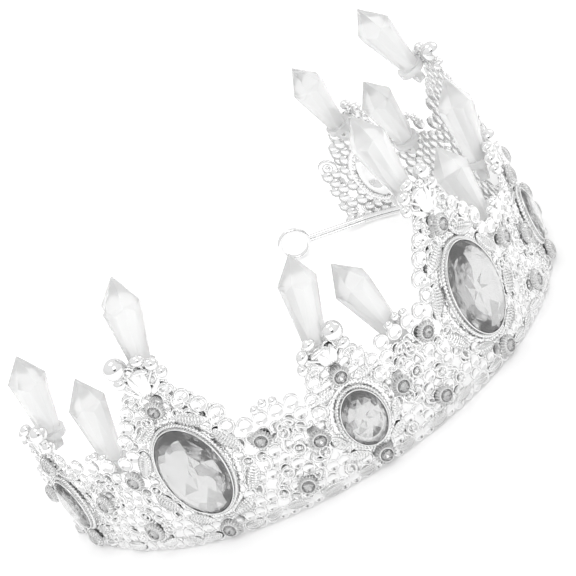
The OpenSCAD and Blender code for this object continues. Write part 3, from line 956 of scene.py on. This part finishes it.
class CROWN_OT_clear_drops(bpy.types.Operator):
    """Rounds the edges of the moulded clear drops"""
    bl_idname = "crown.clear_drops"
    bl_label = "Clear Drops"

    def execute(self, context):
        for node in sorted(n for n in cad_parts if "_drop_" in n):
            work = bmesh.new()
            work.from_mesh(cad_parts[node].data)
            bmesh.ops.remove_doubles(work, verts=work.verts, dist=2e-6)
            bmesh.ops.dissolve_limit(work, angle_limit=math.radians(2), verts=work.verts,
                                     edges=work.edges)
            sharp = [e for e in work.edges if e.is_manifold and e.calc_face_angle() > DROP_EDGE]
            bmesh.ops.bevel(work, geom=sharp, offset=DROP_ROUND * MM, segments=1, profile=0.5,
                            affect="EDGES", clamp_overlap=True)
            mesh = bpy.data.meshes.new(f"moulded_{node}")
            work.to_mesh(mesh)
            work.free()
            mesh.materials.append(shared(clear_acrylic))
            mesh.shade_flat()
            piece = bpy.data.objects.new(f"moulded_{node}", mesh)
            context.scene.collection.objects.link(piece)
            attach(piece, BODY)
            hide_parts(node)
        return {"FINISHED"}


class CROWN_OT_head_wire(bpy.types.Operator):
    """Gives the head wire and its end loops their finish"""
    bl_idname = "crown.head_wire"
    bl_label = "Head Wire"

    def execute(self, context):
        for node in ("head_wire_lower", "head_wire_upper", "end_loop_left", "end_loop_right"):
            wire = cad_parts[node]
            for slot in wire.material_slots:
                slot.link = "OBJECT"
                slot.material = shared(silver_polish)
        return {"FINISHED"}


# -------------------------------------------------------------------------- studio

# Half the floor's width in metres
FLOOR_HALF = 3.0
# The dome's brightness at the horizon, and the height from which it is full
DOME_LOW, DOME_FULL = 0.87, 0.55
# The dark card's brightness, and the share of its half angle that is fully dark
CARD_DARK, CARD_CORE = 0.16, 0.7
# Name, place and width in metres, power in watts. Every lamp points at LAMP_AIM.
LAMPS = (("key", (-0.5, -0.75, 0.9), 0.5, 1.5), ("fill", (0.9, -0.3, 0.6), 0.6, 0.8),
         ("top", (0.0, 0.2, 1.2), 0.5, 1.0))
LAMP_AIM = (0, 0, 0.03)


def lay_floor(scene):
    """A pale square floor that glows a little."""
    mesh = bpy.data.meshes.new("studio_floor")
    r = FLOOR_HALF
    mesh.from_pydata([(-r, -r, 0), (r, -r, 0), (r, r, 0), (-r, r, 0)], [], [(0, 1, 2, 3)])
    floor = bpy.data.objects.new("studio_floor", mesh)
    scene.collection.objects.link(floor)
    material, _, shader = new_material("pale_floor")
    set_shader(shader, Base_Color=srgb("#FFFFFF"), Roughness=0.9,
               Emission_Color=srgb("#FFFFFF"), Emission_Strength=0.2)
    mesh.materials.append(material)


def hang_dome(scene, studio, back):
    """An even dome, darker towards the horizon, with a dark card in the direction back: the
    card's edge is a ramp on the cosine of the angle to back."""
    world = bpy.data.worlds.new("studio_dome")
    scene.world = world
    world.use_nodes = True
    tree = world.node_tree
    background = tree.nodes["Background"]
    place = add_node(tree, "ShaderNodeTexCoord")
    split = add_node(tree, "ShaderNodeSeparateXYZ", [(place.outputs["Generated"], "Vector")])
    ramp = add_node(tree, "ShaderNodeValToRGB", [(split.outputs["Z"], "Fac")])
    low, full = ramp.color_ramp.elements
    low.position, low.color = 0.0, (DOME_LOW, DOME_LOW, DOME_LOW, 1)
    full.position, full.color = DOME_FULL, (1, 1, 1, 1)
    facing = add_node(tree, "ShaderNodeVectorMath", [(place.outputs["Generated"], 0)],
                      operation="DOT_PRODUCT")
    facing.inputs[1].default_value = back
    card = add_node(tree, "ShaderNodeMapRange", [(facing.outputs["Value"], "Value")],
                    From_Min=math.cos(studio.card), From_Max=math.cos(studio.card * CARD_CORE),
                    To_Min=1.0, To_Max=CARD_DARK)
    shaded = add_node(tree, "ShaderNodeVectorMath", [(ramp.outputs["Color"], 0)],
                      operation="SCALE")
    tree.links.new(card.outputs["Result"], shaded.inputs["Scale"])
    tree.links.new(shaded.outputs["Vector"], background.inputs["Color"])
    background.inputs["Strength"].default_value = studio.sky


def hang_lamps(scene):
    """Weak square lamps that all point at the crown."""
    for name, spot, size, power in LAMPS:
        lamp = bpy.data.lights.new(name, "AREA")
        lamp.size = size
        lamp.energy = power
        holder = bpy.data.objects.new(name, lamp)
        holder.location = spot
        look = Vector(LAMP_AIM) - Vector(spot)
        holder.rotation_euler = look.to_track_quat("-Z", "Y").to_euler()
        scene.collection.objects.link(holder)


def set_camera(scene, studio, back):
    """A long lens that stands back from its aim and is rolled about its own axis."""
    turn, roll = studio.azimuth, studio.roll
    right = Vector((math.cos(turn), math.sin(turn), 0))
    up = back.cross(right)
    turned_right = math.cos(roll) * right + math.sin(roll) * up
    turned_up = math.cos(roll) * up - math.sin(roll) * right
    data = bpy.data.cameras.new("studio_camera")
    data.lens = studio.lens
    data.sensor_width = 36
    data.clip_start, data.clip_end = 0.05, 20
    camera = bpy.data.objects.new("studio_camera", data)
    axes = Matrix((turned_right, turned_up, back)).transposed()
    place = Vector(studio.aim) + back * studio.distance
    camera.matrix_world = Matrix.Translation(place) @ axes.to_4x4()
    scene.collection.objects.link(camera)
    scene.camera = camera


class CROWN_OT_studio(bpy.types.Operator):
    """Lays the pale floor and sets the dome, the lights and the camera"""
    bl_idname = "crown.studio"
    bl_label = "Studio"

    def execute(self, context):
        scene = context.scene
        studio = scene.crown_studio
        turn, rise = studio.azimuth, studio.elevation
        # From the aim to the camera
        back = Vector((math.sin(turn) * math.cos(rise), -math.cos(turn) * math.cos(rise),
                       math.sin(rise)))
        lay_floor(scene)
        # The dark card stands behind the lens and gives facets and beads their dark spots
        hang_dome(scene, studio, back)
        hang_lamps(scene)
        set_camera(scene, studio, back)
        scene.view_settings.view_transform = "Standard"
        scene.view_settings.look = "None"
        return {"FINISHED"}


OPERATORS = (
    CROWN_OT_gem_panels, CROWN_OT_scroll_links, CROWN_OT_gem_settings, CROWN_OT_oval_gems,
    CROWN_OT_rhinestones, CROWN_OT_beads, CROWN_OT_clear_drops, CROWN_OT_head_wire,
    CROWN_OT_studio,
)


class CROWN_PT_sidebar(bpy.types.Panel):
    """Lists the crown's parts"""
    bl_idname = "CROWN_PT_sidebar"
    bl_label = "Crown"
    bl_space_type = "VIEW_3D"
    bl_region_type = "UI"
    bl_category = "Crown"

    def draw(self, context):
        for group in ("crown_stamping", "crown_stones", "crown_studio"):
            box = self.layout.box()
            for name in getattr(context.scene, group).__annotations__:
                box.prop(getattr(context.scene, group), name)
        for operator in OPERATORS:
            self.layout.operator(operator.bl_idname)


GROUPS = {"crown_stamping": CrownStampingSettings, "crown_stones": CrownStoneSettings,
          "crown_studio": CrownStudioSettings}


def register():
    for cls in (*GROUPS.values(), *OPERATORS, CROWN_PT_sidebar):
        bpy.utils.register_class(cls)
    for name, group in GROUPS.items():
        setattr(bpy.types.Scene, name, bpy.props.PointerProperty(type=group))


def unregister():
    for name in GROUPS:
        delattr(bpy.types.Scene, name)
    for cls in reversed((*GROUPS.values(), *OPERATORS, CROWN_PT_sidebar)):
        bpy.utils.unregister_class(cls)


def main():
    register()
    for operator in OPERATORS:
        group, name = operator.bl_idname.split(".")
        getattr(getattr(bpy.ops, group), name)()


if __name__ == "__main__":
    main()
